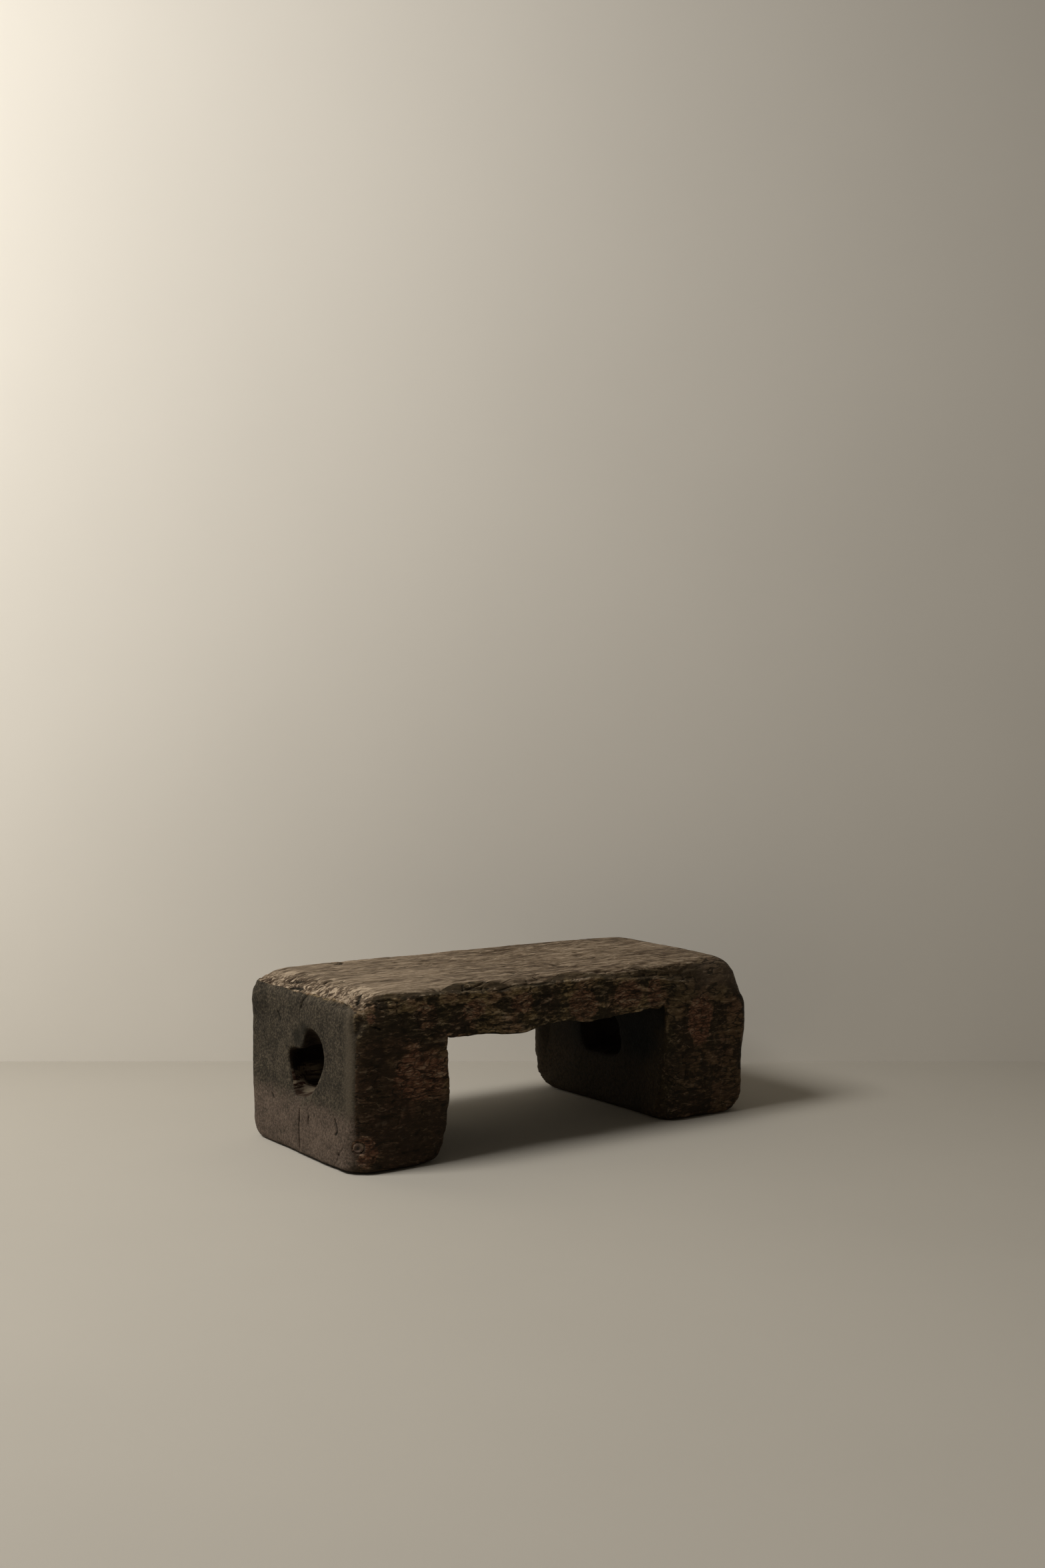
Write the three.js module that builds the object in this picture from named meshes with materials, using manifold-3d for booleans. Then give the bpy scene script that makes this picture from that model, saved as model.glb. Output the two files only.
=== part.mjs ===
// Low stool hewn from one baulk of timber: a thick seat slab on two block feet, with a hand hole
// worn through each foot and a dead knot that sits loose in its socket.
//
// Millimetres. X runs along the grain, Y from the front to the back and Z up.
// The soles stand on z = 0, and the finished stool is centred on X and Y.

import * as THREE from 'three';
import { mergeVertices } from 'three/addons/utils/BufferGeometryUtils.js';
import Module from 'manifold-3d';

const wasm = await Module();
wasm.setup();

// The baulk
const LENGTH = 580;              // longest run along the grain, at the front
const SEAT_HEIGHT = 200;         // floor to sitting face
const END_DEPTH = 250;           // front to back at the two ends
const BACK_BOW = 34;             // swell of the back at mid-length, from the round of the tree
const BACK_FALL = 0.25;          // share of that swell lost towards the seat and the floor
const RIGHT_SKEW = 9;            // how much the askew right end draws in towards the back

// Tool marks
const ADZE_PITCH = [88, 195];    // spacing of the two runs of hollows along a face
const HEW_DEPTH = 2.4;           // of the hollows in the front and the back
const END_HEW_DEPTH = 1.2;       // of those in the cross-cut ends
const FACE_SETBACK = 2.5;        // rough face of the slab, behind the ridge along its top
const RIDGE_DEPTH = 10;          // ridge below the seat

// The arch between the feet
const LEFT_FOOT = 122;           // run of a foot along the grain
const RIGHT_FOOT = 134;
const SLAB_THICKNESS = 59.5;     // seat slab over the arch
const FOOT_BULGE = 6;            // how far the left foot swells into the arch
const FOOT_DISH = 4;             // how far the right foot is dished at mid-height
const FOOT_HOLLOW = 5;           // how far the middle of either foot is cut away from the arch
const UNDERSIDE_WAVE = 2.2;      // waves along the underside of the slab
const UNDERSIDE_PITCH = 114;
const CORNER_LIFT = 4;           // rise of the underside into the left corner
const CORNER_REACH = 25;
const KERF_WIDTH = 5.5;          // overcut in the upper corners of the arch
const LEFT_KERF = 4;
const RIGHT_KERF = 10;
const LEFT_TOE = 18;             // rounding where the arch side of a foot meets the floor
const RIGHT_TOE = 9;
const ARRIS = 4;                 // worn edge where the arch meets the front and the back

// Wear on the edges of the baulk: how far it reaches from the sharp edge into a face.
// A pair is [at the front, at the back], and a row of three is [left, middle, right].
const LEFT_SEAT_RUN = 40;        // slope worn down at the left end of the seat
const LEFT_SEAT_DROP = [24, 10];
const RIGHT_SEAT_RUN = [54, 12];
const RIGHT_SEAT_DROP = [40, 10];
const LEFT_UPRIGHT = [11, 6];
const RIGHT_UPRIGHT = [14, 15];
const LEFT_FLOOR_RUN = [32, 4];
const LEFT_FLOOR_RISE = [3, 26];
const RIGHT_FLOOR = 28;
const FRONT_WANE = [8, 12, 26];  // smooth band along the front of the seat
const FRONT_FLOOR = [22, 7, 7];
const BACK_SEAT = 14;
const BACK_FLOOR = [28, 36, 36];
const BEVEL_FULLNESS = 1.45;     // 1 is a flat bevel and 2 a round edge

// The hand holes. A place is measured from the front face, and a height from the floor.
const PASSAGE_FLOOR = 72;
const PASSAGE_HEIGHT = 52;
const PASSAGE_WIDTH = 96;
const PASSAGE_PLACE = 128;       // middle of the passage
const PASSAGE_SQUARENESS = 5;    // 2 is an ellipse and more is squarer
const MOUTH_DEPTH = 34;          // how far in a mouth has become the passage
const LIP = 5;                   // worn lip of a mouth

// Outlines of the mouths, as [place, height]. The left one is a narrow upper bore that runs into
// a wider slot with a broken back rim and a narrow foot. The photograph hides the other two.
const LEFT_MOUTH = [
  [100, 152], [76, 143], [66, 121], [75, 101], [92, 80], [109, 70], [127, 69],
  [138, 66], [146, 88], [153, 108], [151, 121], [127, 124], [115, 131], [111, 146],
];
const RIGHT_MOUTH = [[118, 134], [84, 128], [72, 100], [84, 70], [124, 64], [166, 70], [178, 98], [162, 126]];
const ARCH_MOUTH = [[148, 120], [112, 118], [105, 92], [112, 68], [148, 63], [180, 66], [188, 92], [180, 117]];

// The dead knot at the near lower corner of the left end
const KNOT_DIAMETER = 13;
const KNOT_LENGTH = 46;
const KNOT_TAPER = 0.55;         // inner end against outer end
const KNOT_PLACE = [10, 7, 32];  // from the left end, from the front and above the floor
const KNOT_LEAN = [-0.72, -0.68, -0.12];
const KNOT_CLEARANCE = 0.3;

// The chip off the front upright edge of the right end
const CHIP_BOTTOM = 148;
const CHIP_HEIGHT = 22;
const CHIP_BITE = 9;             // taken off the sharp edge, along its diagonal
const CHIP_SLOPE = 0.14;

// Facets
const EDGE_STEPS = [0, 4, 10, 19, 31, 46];
const FACE_PITCH = 20;
const RING_POINTS = 28;
const UNDERSIDE_SPANS = 16;
const CLEAR = 20;                // how far a cutter runs past the faces that it cuts

const DEPTH = END_DEPTH + BACK_BOW;
const FRONT_Y = -DEPTH / 2;
const LEFT_X = -LENGTH / 2;
const RIGHT_X = LENGTH / 2;
const ARCH_LEFT = LEFT_X + LEFT_FOOT;
const ARCH_RIGHT = RIGHT_X - RIGHT_FOOT;
const UNDERSIDE_Z = SEAT_HEIGHT - SLAB_THICKNESS;

const patinatedWood = new THREE.MeshStandardMaterial({ color: 0x4b3c2c, roughness: 0.82, metalness: 0 });
const knotWood = new THREE.MeshStandardMaterial({ color: 0x5a4030, roughness: 0.7, metalness: 0 });

function mix(from, to, share) {
  return from + (to - from) * share;
}

// 0 before from, 1 beyond to and a smooth change between them, in either direction
function smoothStep(from, to, value) {
  const t = THREE.MathUtils.clamp((value - from) / (to - from), 0, 1);
  return t * t * (3 - 2 * t);
}

// Hollows of the adze at a point of a face, from 0 for untouched to 1 for the deepest. The strokes
// lean, so v shifts them a little.
function adzeMarks(u, v) {
  const [short, long] = ADZE_PITCH.map((pitch) => (2 * Math.PI) / pitch);
  const strokes = Math.sin(u * short + v / 46) + Math.sin(u * long - v / 23 + 1.3);
  return 0.5 + strokes / 4;
}

function frontFaceY(x, z) {
  const overArch = smoothStep(ARCH_LEFT - 30, ARCH_LEFT, x) * smoothStep(ARCH_RIGHT, ARCH_RIGHT - 30, x);
  const belowRidge = smoothStep(SEAT_HEIGHT - RIDGE_DEPTH, SEAT_HEIGHT - 2 * RIDGE_DEPTH, z);
  return FRONT_Y + HEW_DEPTH * adzeMarks(x, z) + FACE_SETBACK * overArch * belowRidge;
}

function backFaceY(x, z) {
  const along = 1 - Math.abs(x / RIGHT_X) ** 4;
  const middle = SEAT_HEIGHT * 0.45;
  const fall = BACK_FALL * ((z - middle) / middle) ** 2;
  return FRONT_Y + END_DEPTH + BACK_BOW * along * (1 - fall) - HEW_DEPTH * adzeMarks(x + 70, z);
}

function leftEndX(y, z) {
  return LEFT_X + END_HEW_DEPTH * adzeMarks(1.4 * y, z);
}

function rightEndX(y, z) {
  const skew = RIGHT_SKEW * smoothStep(FRONT_Y, FRONT_Y + END_DEPTH, y);
  return RIGHT_X - skew - END_HEW_DEPTH * adzeMarks(1.4 * y + 40, z);
}

// How near a point of the sharp block is to the left end, the right end, the back, the seat and the
// floor, each from 0 to 1. The block's near lower left corner is at 0, 0, 0.
function nearness(p) {
  return {
    left: smoothStep(90, 15, p.x),
    right: smoothStep(200, 40, LENGTH - p.x),
    back: smoothStep(0, END_DEPTH, p.y),
    seat: smoothStep(52, 22, SEAT_HEIGHT - p.z),
    floor: smoothStep(70, 10, p.z),
  };
}

function byEnd([left, middle, right], near) {
  return middle + (left - middle) * near.left + (right - middle) * near.right;
}

function wearAlongX(near, atLeft) {
  if (atLeft) {
    const upright = mix(...LEFT_UPRIGHT, near.back);
    const floor = mix(...LEFT_FLOOR_RUN, Math.sqrt(near.back));
    return mix(mix(upright, LEFT_SEAT_RUN, near.seat), floor, near.floor);
  }
  const upright = mix(...RIGHT_UPRIGHT, near.back);
  const seat = mix(...RIGHT_SEAT_RUN, near.back ** 0.4);
  return mix(mix(upright, seat, near.seat), RIGHT_FLOOR, near.floor);
}

function wearAlongY(near, atFront) {
  if (atFront) {
    const upright = mix(RIGHT_UPRIGHT[0], LEFT_UPRIGHT[0], near.left);
    return mix(mix(upright, byEnd(FRONT_WANE, near), near.seat), byEnd(FRONT_FLOOR, near), near.floor);
  }
  const upright = mix(RIGHT_UPRIGHT[1], LEFT_UPRIGHT[1], near.left);
  return mix(mix(upright, BACK_SEAT, near.seat), byEnd(BACK_FLOOR, near), near.floor);
}

function wearAlongZ(near, atSeat) {
  if (atSeat) {
    const left = mix(...LEFT_SEAT_DROP, near.back);
    const middle = mix(FRONT_WANE[1], BACK_SEAT, near.back);
    const right = mix(...RIGHT_SEAT_DROP, near.back ** 0.4);
    return byEnd([left, middle, right], near);
  }
  const left = mix(...LEFT_FLOOR_RISE, near.back ** 3);
  const middle = mix(FRONT_FLOOR[1], BACK_FLOOR[1], near.back);
  return byEnd([left, middle, RIGHT_FLOOR], near);
}

// Wear down a point on the skin of the sharp block. Its distances from the three nearest faces are
// measured in shares of the wear there, and the skin is drawn in onto a curved edge or corner.
function wornPoint(p) {
  const near = nearness(p);
  const size = [LENGTH, END_DEPTH, SEAT_HEIGHT];
  const atStart = p.toArray().map((value, i) => value < size[i] / 2);
  const reach = [wearAlongX(near, atStart[0]), wearAlongY(near, atStart[1]), wearAlongZ(near, !atStart[2])];
  const fullness = mix(2, BEVEL_FULLNESS, near.seat * (1 - near.right));
  const depth = p.toArray().map((value, i) => (atStart[i] ? value : size[i] - value));
  const share = depth.map((value, i) => Math.max(0, 1 - value / reach[i]));
  const norm = share.reduce((sum, value) => sum + value ** fullness, 0) ** (1 / fullness);
  const shrink = norm > 0 ? Math.max(...share) / norm : 1;
  const worn = depth.map((value, i) => (share[i] > 0 ? reach[i] * (1 - share[i] * shrink) : value));
  return new THREE.Vector3(...worn.map((value, i) => (atStart[i] ? value : size[i] - value)));
}

// Grid lines along one side of the block, close together near both edges
function gridLines(size) {
  const last = EDGE_STEPS[EDGE_STEPS.length - 1];
  const count = Math.ceil((size - 2 * last) / FACE_PITCH);
  const lines = [...EDGE_STEPS];
  for (let i = 1; i < count; i += 1) {
    lines.push(mix(last, size - last, i / count));
  }
  for (const step of [...EDGE_STEPS].reverse()) {
    lines.push(size - step);
  }
  return lines;
}

// The whole baulk before the arch and the hand holes are cut
function hewnBaulk() {
  const alongX = gridLines(LENGTH);
  const alongY = gridLines(END_DEPTH);
  const alongZ = gridLines(SEAT_HEIGHT);
  const nx = alongX.length - 1;
  const ny = alongY.length - 1;
  const nz = alongZ.length - 1;
  const geometry = new THREE.BoxGeometry(nx, ny, nz, nx, ny, nz);
  const position = geometry.attributes.position;
  const p = new THREE.Vector3();
  for (let i = 0; i < position.count; i += 1) {
    p.fromBufferAttribute(position, i);
    p.x = alongX[Math.round(p.x + nx / 2)];
    p.y = alongY[Math.round(p.y + ny / 2)];
    p.z = alongZ[Math.round(p.z + nz / 2)];
    const worn = wornPoint(p);
    const flatX = LEFT_X + worn.x;
    const flatY = FRONT_Y + worn.y;
    const x = mix(leftEndX(flatY, worn.z), rightEndX(flatY, worn.z), worn.x / LENGTH);
    const y = mix(frontFaceY(flatX, worn.z), backFaceY(flatX, worn.z), worn.y / END_DEPTH);
    position.setXYZ(i, x, y, worn.z);
  }
  return geometry;
}

// Volume that the triangles enclose, below zero where they face inwards
function signedVolume(points, indices) {
  let volume = 0;
  for (let i = 0; i < indices.length; i += 3) {
    const [a, b, c] = indices.slice(i, i + 3).map((index) => points[index]);
    volume += a.dot(b.clone().cross(c)) / 6;
  }
  return volume;
}

// A closed skin over a row of rings that all have the same number of points. flatten gives the
// plane in which the two end rings are filled.
function loft(rings, flatten) {
  const size = rings[0].length;
  const points = rings.flat();
  const indices = [];
  for (let r = 0; r < rings.length - 1; r += 1) {
    for (let i = 0; i < size; i += 1) {
      const a = r * size + i;
      const b = r * size + ((i + 1) % size);
      indices.push(a, b, a + size, b, b + size, a + size);
    }
  }
  for (const r of [0, rings.length - 1]) {
    const outline = rings[r].map(flatten);
    const followsRing = !THREE.ShapeUtils.isClockWise(outline);
    const reversed = followsRing === (r === 0);
    for (const corners of THREE.ShapeUtils.triangulateShape(outline, [])) {
      const triangle = corners.map((corner) => r * size + corner);
      indices.push(...(reversed ? triangle.reverse() : triangle));
    }
  }
  if (signedVolume(points, indices) < 0) indices.reverse();
  const geometry = new THREE.BufferGeometry().setFromPoints(points);
  geometry.setIndex(indices);
  return geometry;
}

// Side of the left foot that faces the arch. t is 0 at the front and 1 at the back.
function leftArchSide(z, t) {
  const bulge = FOOT_BULGE * Math.max(0, Math.sin((Math.PI * (z - 20)) / (UNDERSIDE_Z - 10)));
  return ARCH_LEFT + bulge - FOOT_HOLLOW * Math.sin(Math.PI * t);
}

function rightArchSide(z, t) {
  const dish = FOOT_DISH * Math.max(0, Math.sin((Math.PI * z) / UNDERSIDE_Z));
  return ARCH_RIGHT + dish + FOOT_HOLLOW * Math.sin(Math.PI * t);
}

function undersideZ(x, t) {
  const wave = UNDERSIDE_WAVE * Math.cos((2 * Math.PI * (x + 7 + 40 * t)) / UNDERSIDE_PITCH);
  const lift = CORNER_LIFT * Math.exp((ARCH_LEFT - x) / CORNER_REACH);
  return UNDERSIDE_Z + wave + lift;
}

// How far the rounded toe of a foot has drawn back at a height above the floor
function toeSetback(z, radius) {
  const short = Math.max(0, radius - Math.max(z, 0));
  return Math.min(radius - Math.sqrt(radius ** 2 - short ** 2), radius - 1);
}

// Outline of the arch in the XZ plane, widened by ease, from the left sole round to the right one
function archOutline(t, ease) {
  const heights = [-CLEAR, 0.001, 2, 6, 12, 20, 45, 70, 95, 120];
  const outline = heights.map((z) => [leftArchSide(z, t) - toeSetback(z, LEFT_TOE) - ease, z]);
  const left = leftArchSide(UNDERSIDE_Z, t) - ease;
  const right = rightArchSide(UNDERSIDE_Z, t) + ease;
  const leftKerfTop = undersideZ(left, t) + ease + LEFT_KERF;
  const rightKerfTop = undersideZ(right, t) + ease + RIGHT_KERF;
  outline.push([left, leftKerfTop], [left + KERF_WIDTH, leftKerfTop]);
  for (let i = 0; i <= UNDERSIDE_SPANS; i += 1) {
    const x = mix(left + KERF_WIDTH + 0.5, right - KERF_WIDTH - 0.5, i / UNDERSIDE_SPANS);
    outline.push([x, undersideZ(x, t) + ease]);
  }
  outline.push([right - KERF_WIDTH, rightKerfTop], [right, rightKerfTop]);
  for (const z of heights.reverse()) {
    outline.push([rightArchSide(z, t) + toeSetback(z, RIGHT_TOE) + ease, z]);
  }
  return outline;
}

// Cutter for the arch, flaring where it comes out so that its edges are worn and not sharp
function archCutter() {
  const insets = [-CLEAR, -0.5 * ARRIS, 0, 0.4 * ARRIS, ARRIS];
  const easeAt = (inset) => ARRIS * (1 - Math.max(inset, -0.5 * ARRIS) / ARRIS) ** 1.6;
  const rings = [];
  for (const inset of insets) {
    const ring = archOutline(0, easeAt(inset));
    rings.push(ring.map(([x, z]) => new THREE.Vector3(x, frontFaceY(x, z) + inset, z)));
  }
  for (const t of [0.25, 0.5, 0.75]) {
    rings.push(archOutline(t, 0).map(([x, z]) => new THREE.Vector3(x, FRONT_Y + t * DEPTH, z)));
  }
  for (const inset of insets.reverse()) {
    const ring = archOutline(1, easeAt(inset));
    rings.push(ring.map(([x, z]) => new THREE.Vector3(x, backFaceY(x, z) - inset, z)));
  }
  return loft(rings, (p) => new THREE.Vector2(p.x, p.z));
}

function middleOf(ring) {
  return ring.reduce((sum, p) => sum.add(p), new THREE.Vector3()).divideScalar(ring.length);
}

// Ring of a mouth in the plane at x, with its edge moved outwards by grow
function mouthRing(x, outline, grow) {
  const controls = outline.map(([place, height]) => new THREE.Vector3(x, FRONT_Y + place, height));
  const curve = new THREE.CatmullRomCurve3(controls, true, 'centripetal');
  const ring = curve.getSpacedPoints(RING_POINTS).slice(0, RING_POINTS);
  const middle = middleOf(ring);
  return ring.map((p) => {
    const outwards = p.clone().sub(middle);
    return outwards.setLength(outwards.length() + grow).add(middle);
  });
}

// Ring of the passage inside a foot, a rounded rectangle whose points lie in the same directions
// from its middle as those of the mouth that it runs to
function passageRing(x, mouth) {
  const middle = middleOf(mouth);
  return mouth.map((p) => {
    const angle = Math.atan2(p.z - middle.z, p.y - middle.y);
    const across = Math.abs(Math.cos(angle) / (PASSAGE_WIDTH / 2)) ** PASSAGE_SQUARENESS;
    const up = Math.abs(Math.sin(angle) / (PASSAGE_HEIGHT / 2)) ** PASSAGE_SQUARENESS;
    const radius = (across + up) ** (-1 / PASSAGE_SQUARENESS);
    const y = FRONT_Y + PASSAGE_PLACE + radius * Math.cos(angle);
    const z = PASSAGE_FLOOR + PASSAGE_HEIGHT / 2 + radius * Math.sin(angle);
    return new THREE.Vector3(x, y, z);
  });
}

// Cutter for one hand hole. outward is -1 for the left foot and 1 for the right one.
function handHoleCutter(endX, archX, outward, endMouth) {
  const outer = mouthRing(endX, endMouth, 0);
  const inner = mouthRing(archX, ARCH_MOUTH, 0);
  const rings = [
    mouthRing(endX + outward * CLEAR, endMouth, LIP),
    outer,
    mouthRing(endX - outward * LIP, endMouth, -0.4 * LIP),
    passageRing(endX - outward * MOUTH_DEPTH, outer),
    passageRing(archX + outward * MOUTH_DEPTH, inner),
    mouthRing(archX + outward * LIP, ARCH_MOUTH, -0.4 * LIP),
    inner,
    mouthRing(archX - outward * CLEAR, ARCH_MOUTH, LIP),
  ];
  return loft(rings, (p) => new THREE.Vector2(p.y, p.z));
}

// Tapered plug along the dead branch, from outside the corner inwards
function knotPlug(clearance) {
  const radius = KNOT_DIAMETER / 2 + clearance;
  const outside = 10;
  const length = KNOT_LENGTH + outside + clearance;
  const geometry = new THREE.CylinderGeometry(radius, radius * KNOT_TAPER, length, 20, 2);
  geometry.translate(0, outside - length / 2, 0);
  const outwards = new THREE.Vector3(...KNOT_LEAN).normalize();
  geometry.applyQuaternion(new THREE.Quaternion().setFromUnitVectors(new THREE.Vector3(0, 1, 0), outwards));
  const [fromEnd, fromFront, height] = KNOT_PLACE;
  geometry.translate(LEFT_X + fromEnd, FRONT_Y + fromFront, height);
  return geometry;
}

// Wedge across the upright edge of the right end, where a chip has split away
function chipCutter() {
  const across = 60;
  const geometry = new THREE.BoxGeometry(across, across, CHIP_HEIGHT);
  geometry.translate(0, -across / 2, CHIP_HEIGHT / 2);
  geometry.rotateX(-CHIP_SLOPE);
  geometry.rotateZ(Math.PI / 4);
  const inset = CHIP_BITE / Math.SQRT2;
  geometry.translate(RIGHT_X - inset, FRONT_Y + inset, CHIP_BOTTOM);
  return geometry;
}

function toManifold(source) {
  const geometry = source.clone();
  geometry.deleteAttribute('normal');
  geometry.deleteAttribute('uv');
  const welded = mergeVertices(geometry, 1e-4);
  const mesh = new wasm.Mesh({
    numProp: 3,
    vertProperties: new Float32Array(welded.attributes.position.array),
    triVerts: new Uint32Array(welded.index.array),
  });
  return new wasm.Manifold(mesh);
}

function toGeometry(manifold) {
  const mesh = manifold.getMesh();
  const geometry = new THREE.BufferGeometry();
  geometry.setAttribute('position', new THREE.BufferAttribute(new Float32Array(mesh.vertProperties), 3));
  geometry.setIndex(new THREE.BufferAttribute(new Uint32Array(mesh.triVerts), 1));
  return geometry;
}

function hewTimber(baulk) {
  const cutters = [
    archCutter(),
    handHoleCutter(LEFT_X, ARCH_LEFT, -1, LEFT_MOUTH),
    handHoleCutter(RIGHT_X, ARCH_RIGHT, 1, RIGHT_MOUTH),
    chipCutter(),
    knotPlug(KNOT_CLEARANCE),
  ];
  return cutters.reduce((timber, cutter) => timber.subtract(toManifold(cutter)), baulk);
}

function makePart(name, solid, material) {
  const mesh = new THREE.Mesh(toGeometry(solid), material);
  mesh.name = name;
  return mesh;
}

const baulk = toManifold(hewnBaulk());
const stool = new THREE.Group();
stool.name = 'low_stool';
stool.add(makePart('stool_timber', hewTimber(baulk), patinatedWood));
stool.add(makePart('corner_knot', baulk.intersect(toManifold(knotPlug(0))), knotWood));

const middle = new THREE.Box3().setFromObject(stool).getCenter(new THREE.Vector3());
for (const part of stool.children) {
  part.geometry.translate(-middle.x, -middle.y, 0);
}

export default stool;
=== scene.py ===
"""Low stool hewn from one baulk of dark timber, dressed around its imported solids.

Lengths in the settings are metres. The surface of the timber is worked out in millimetres, because
tool marks, cracks and fibres are measured that way. X runs along the grain, Y from the front to the
back and Z up.
"""

import itertools
import math

import bmesh
import bpy
import numpy as np
from mathutils import Euler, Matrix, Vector


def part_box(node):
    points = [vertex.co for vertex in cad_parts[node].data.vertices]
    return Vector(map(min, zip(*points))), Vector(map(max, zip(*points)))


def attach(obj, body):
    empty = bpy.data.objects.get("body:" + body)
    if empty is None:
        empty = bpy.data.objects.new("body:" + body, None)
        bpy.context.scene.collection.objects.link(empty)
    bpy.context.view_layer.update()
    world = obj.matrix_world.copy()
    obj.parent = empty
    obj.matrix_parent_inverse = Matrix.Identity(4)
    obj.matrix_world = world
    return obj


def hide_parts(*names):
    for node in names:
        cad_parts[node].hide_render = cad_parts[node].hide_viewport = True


bl_info = {
    "name": "Low Hewn Stool",
    "version": (1, 0, 0),
    "blender": (4, 5, 0),
    "location": "3D View > Sidebar > Low Stool",
    "description": "Dresses a low stool hewn from one baulk of timber, and sets its studio stage",
    "category": "Object",
}

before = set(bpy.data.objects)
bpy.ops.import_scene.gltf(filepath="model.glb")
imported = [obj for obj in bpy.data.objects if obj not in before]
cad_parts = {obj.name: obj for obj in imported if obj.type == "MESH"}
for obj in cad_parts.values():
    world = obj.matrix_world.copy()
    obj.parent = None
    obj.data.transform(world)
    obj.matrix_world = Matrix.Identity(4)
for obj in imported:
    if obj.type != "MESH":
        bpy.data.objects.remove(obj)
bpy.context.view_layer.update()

MM = 0.001
TIMBER = "stool_timber"
KNOT = "corner_knot"
LEFT_X, FRONT_Y, _ = np.array(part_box(TIMBER)[0]) / MM
RIGHT_X, BACK_Y, SEAT_Z = np.array(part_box(TIMBER)[1]) / MM
KNOT_LOW, KNOT_HIGH = (np.array(corner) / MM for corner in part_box(KNOT))

# The sides and the top of the arch between the feet
ARCH_LEFT_X = -168
ARCH_RIGHT_X = 158
ARCH_TOP_Z = 140

# The cracks that show on the left end and on the seat: the places that a crack runs through, its
# half width and its depth
END_CRACKS = [
    ([(-290, -15, 54), (-290, -13, 36), (-290, -14, 20), (-290, -14, 2)], 1.3, 3.5),
    ([(-290, -33, 62), (-290, -36, 50), (-290, -35, 38)], 1.2, 2.5),
    ([(-290, -98, 57), (-290, -102, 50), (-290, -103, 45), (-290, -99, 41)], 1.6, 3.0),
    ([(-290, -129, 45), (-290, -116, 30), (-290, -106, 17), (-290, -94, 2)], 1.1, 3.0),
    ([(-290, 54, 60), (-290, 50, 56)], 1.7, 2.0),
    ([(-290, 55, 28), (-290, 51, 24)], 1.7, 2.0),
    ([(-289, 39, 159), (-289, 33, 152)], 1.7, 2.0),
    ([(-289, -19, 172), (-288, -23, 181), (-282, -28, 190), (-268, -29, 197), (-258, -32, 199)], 1.3, 4.0),
    ([(-275, -140, 166), (-266, -140, 165), (-256, -140, 161)], 1.3, 3.0),
]
SEAT_CRACKS = [
    ([(-276, 36, 194), (-271, 26, 197), (-268, 13, 198)], 2.8, 4.0),
    ([(-284, 17, 191), (-280, 8, 192), (-282, -4, 191)], 3.0, 3.5),
    ([(-284, 40, 192), (-266, 42, 198), (-250, 40, 200)], 1.5, 4.0),
    ([(-262, -24, 198), (-250, -20, 200)], 1.6, 3.5),
    ([(-248, -33, 200), (-247, -45, 200)], 1.8, 3.0),
    ([(-284, -112, 188), (-279, -103, 191), (-269, -90, 197)], 2.6, 4.0),
    ([(-278, -124, 189), (-270, -116, 194), (-262, -109, 198)], 2.4, 4.0),
    ([(-280, -82, 190), (-270, -78, 196)], 2.0, 4.0),
    ([(-282, -60, 189), (-274, -52, 194)], 2.0, 3.0),
    ([(-181, 92, 200), (-164, 108, 200)], 2.6, 5.0),
    ([(-190, -124, 200), (-180, -131, 199), (-176, -135, 194)], 1.5, 4.0),
    ([(-250, 56, 199), (-196, 50, 200)], 1.3, 3.0),
    ([(-158, 20, 200), (-145, 17, 200), (-130, 15, 200)], 1.4, 3.5),
    ([(-230, -60, 200), (-150, -66, 200)], 1.1, 2.5),
    ([(-215, 12, 200), (-172, 6, 200)], 1.1, 2.5),
    ([(-120, 60, 200), (-60, 54, 200)], 1.1, 2.5),
    ([(-100, -20, 200), (-66, -26, 200)], 1.2, 2.5),
    ([(-60, -70, 200), (-10, -76, 200)], 1.2, 3.0),
    ([(-20, 88, 200), (26, 84, 200)], 1.2, 2.5),
    ([(20, 20, 200), (70, 14, 200)], 1.2, 2.5),
    ([(60, -90, 200), (96, -94, 200)], 1.2, 2.5),
    ([(90, 78, 200), (150, 72, 200)], 1.2, 2.5),
    ([(120, -50, 200), (176, -58, 199)], 1.2, 2.5),
    ([(150, 34, 200), (204, 28, 199)], 1.2, 2.5),
]
WORM_HOLE = (-290, -106, 19)
WORM_HOLE_RADIUS = 2.2
WORM_HOLE_DEPTH = 5

# Worn or chipped places where paler wood shows: middle, and reach along X, Y and Z
PALE_SPOTS = [
    ((102, -138, 160), (7, 6, 1.6)),
    ((123, -137, 145), (6, 6, 3)),
    ((160, -138, 142), (0.9, 4, 6)),
    ((-278, -138, 186), (8, 6, 4)),
    ((-289, -137, 22), (6, 5, 11)),
]
# Painted shade on the end beside the hand hole, where its upper rim rounds down into it
RIM_SHADE_SPOTS = [
    ((-290, -12, 137), (10, 9, 9)),
    ((-290, -26, 150), (10, 8, 6)),
]
# Dark places on the front
DARK_SPOTS = [
    ((-240, -139, 166), (9, 14, 9)),
    ((-258, -140, 124), (13, 14, 24)),
    ((-174, -138, 174), (9, 14, 5)),
    ((-30, -138, 172), (18, 14, 11)),
    ((86, -138, 168), (15, 14, 9)),
    ((166, -138, 168), (8, 14, 7)),
]
# Places on the front that stay clear of the dark patches
CLEAR_SPOTS = [
    ((-218, -139, 183), (24, 14, 5)),
    ((-120, -139, 184), (50, 14, 5)),
    ((-264, -139, 176), (7, 14, 8)),
    ((112, -139, 158), (30, 14, 12)),
    ((214, -139, 122), (16, 14, 20)),
]
# Painted shade around the hand hole of the right foot, under the arch
ARCH_SHADE_SPOTS = [
    ((158, -82, 98), (24, 34, 20)),
    ((158, 6, 92), (20, 32, 20)),
]
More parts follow.
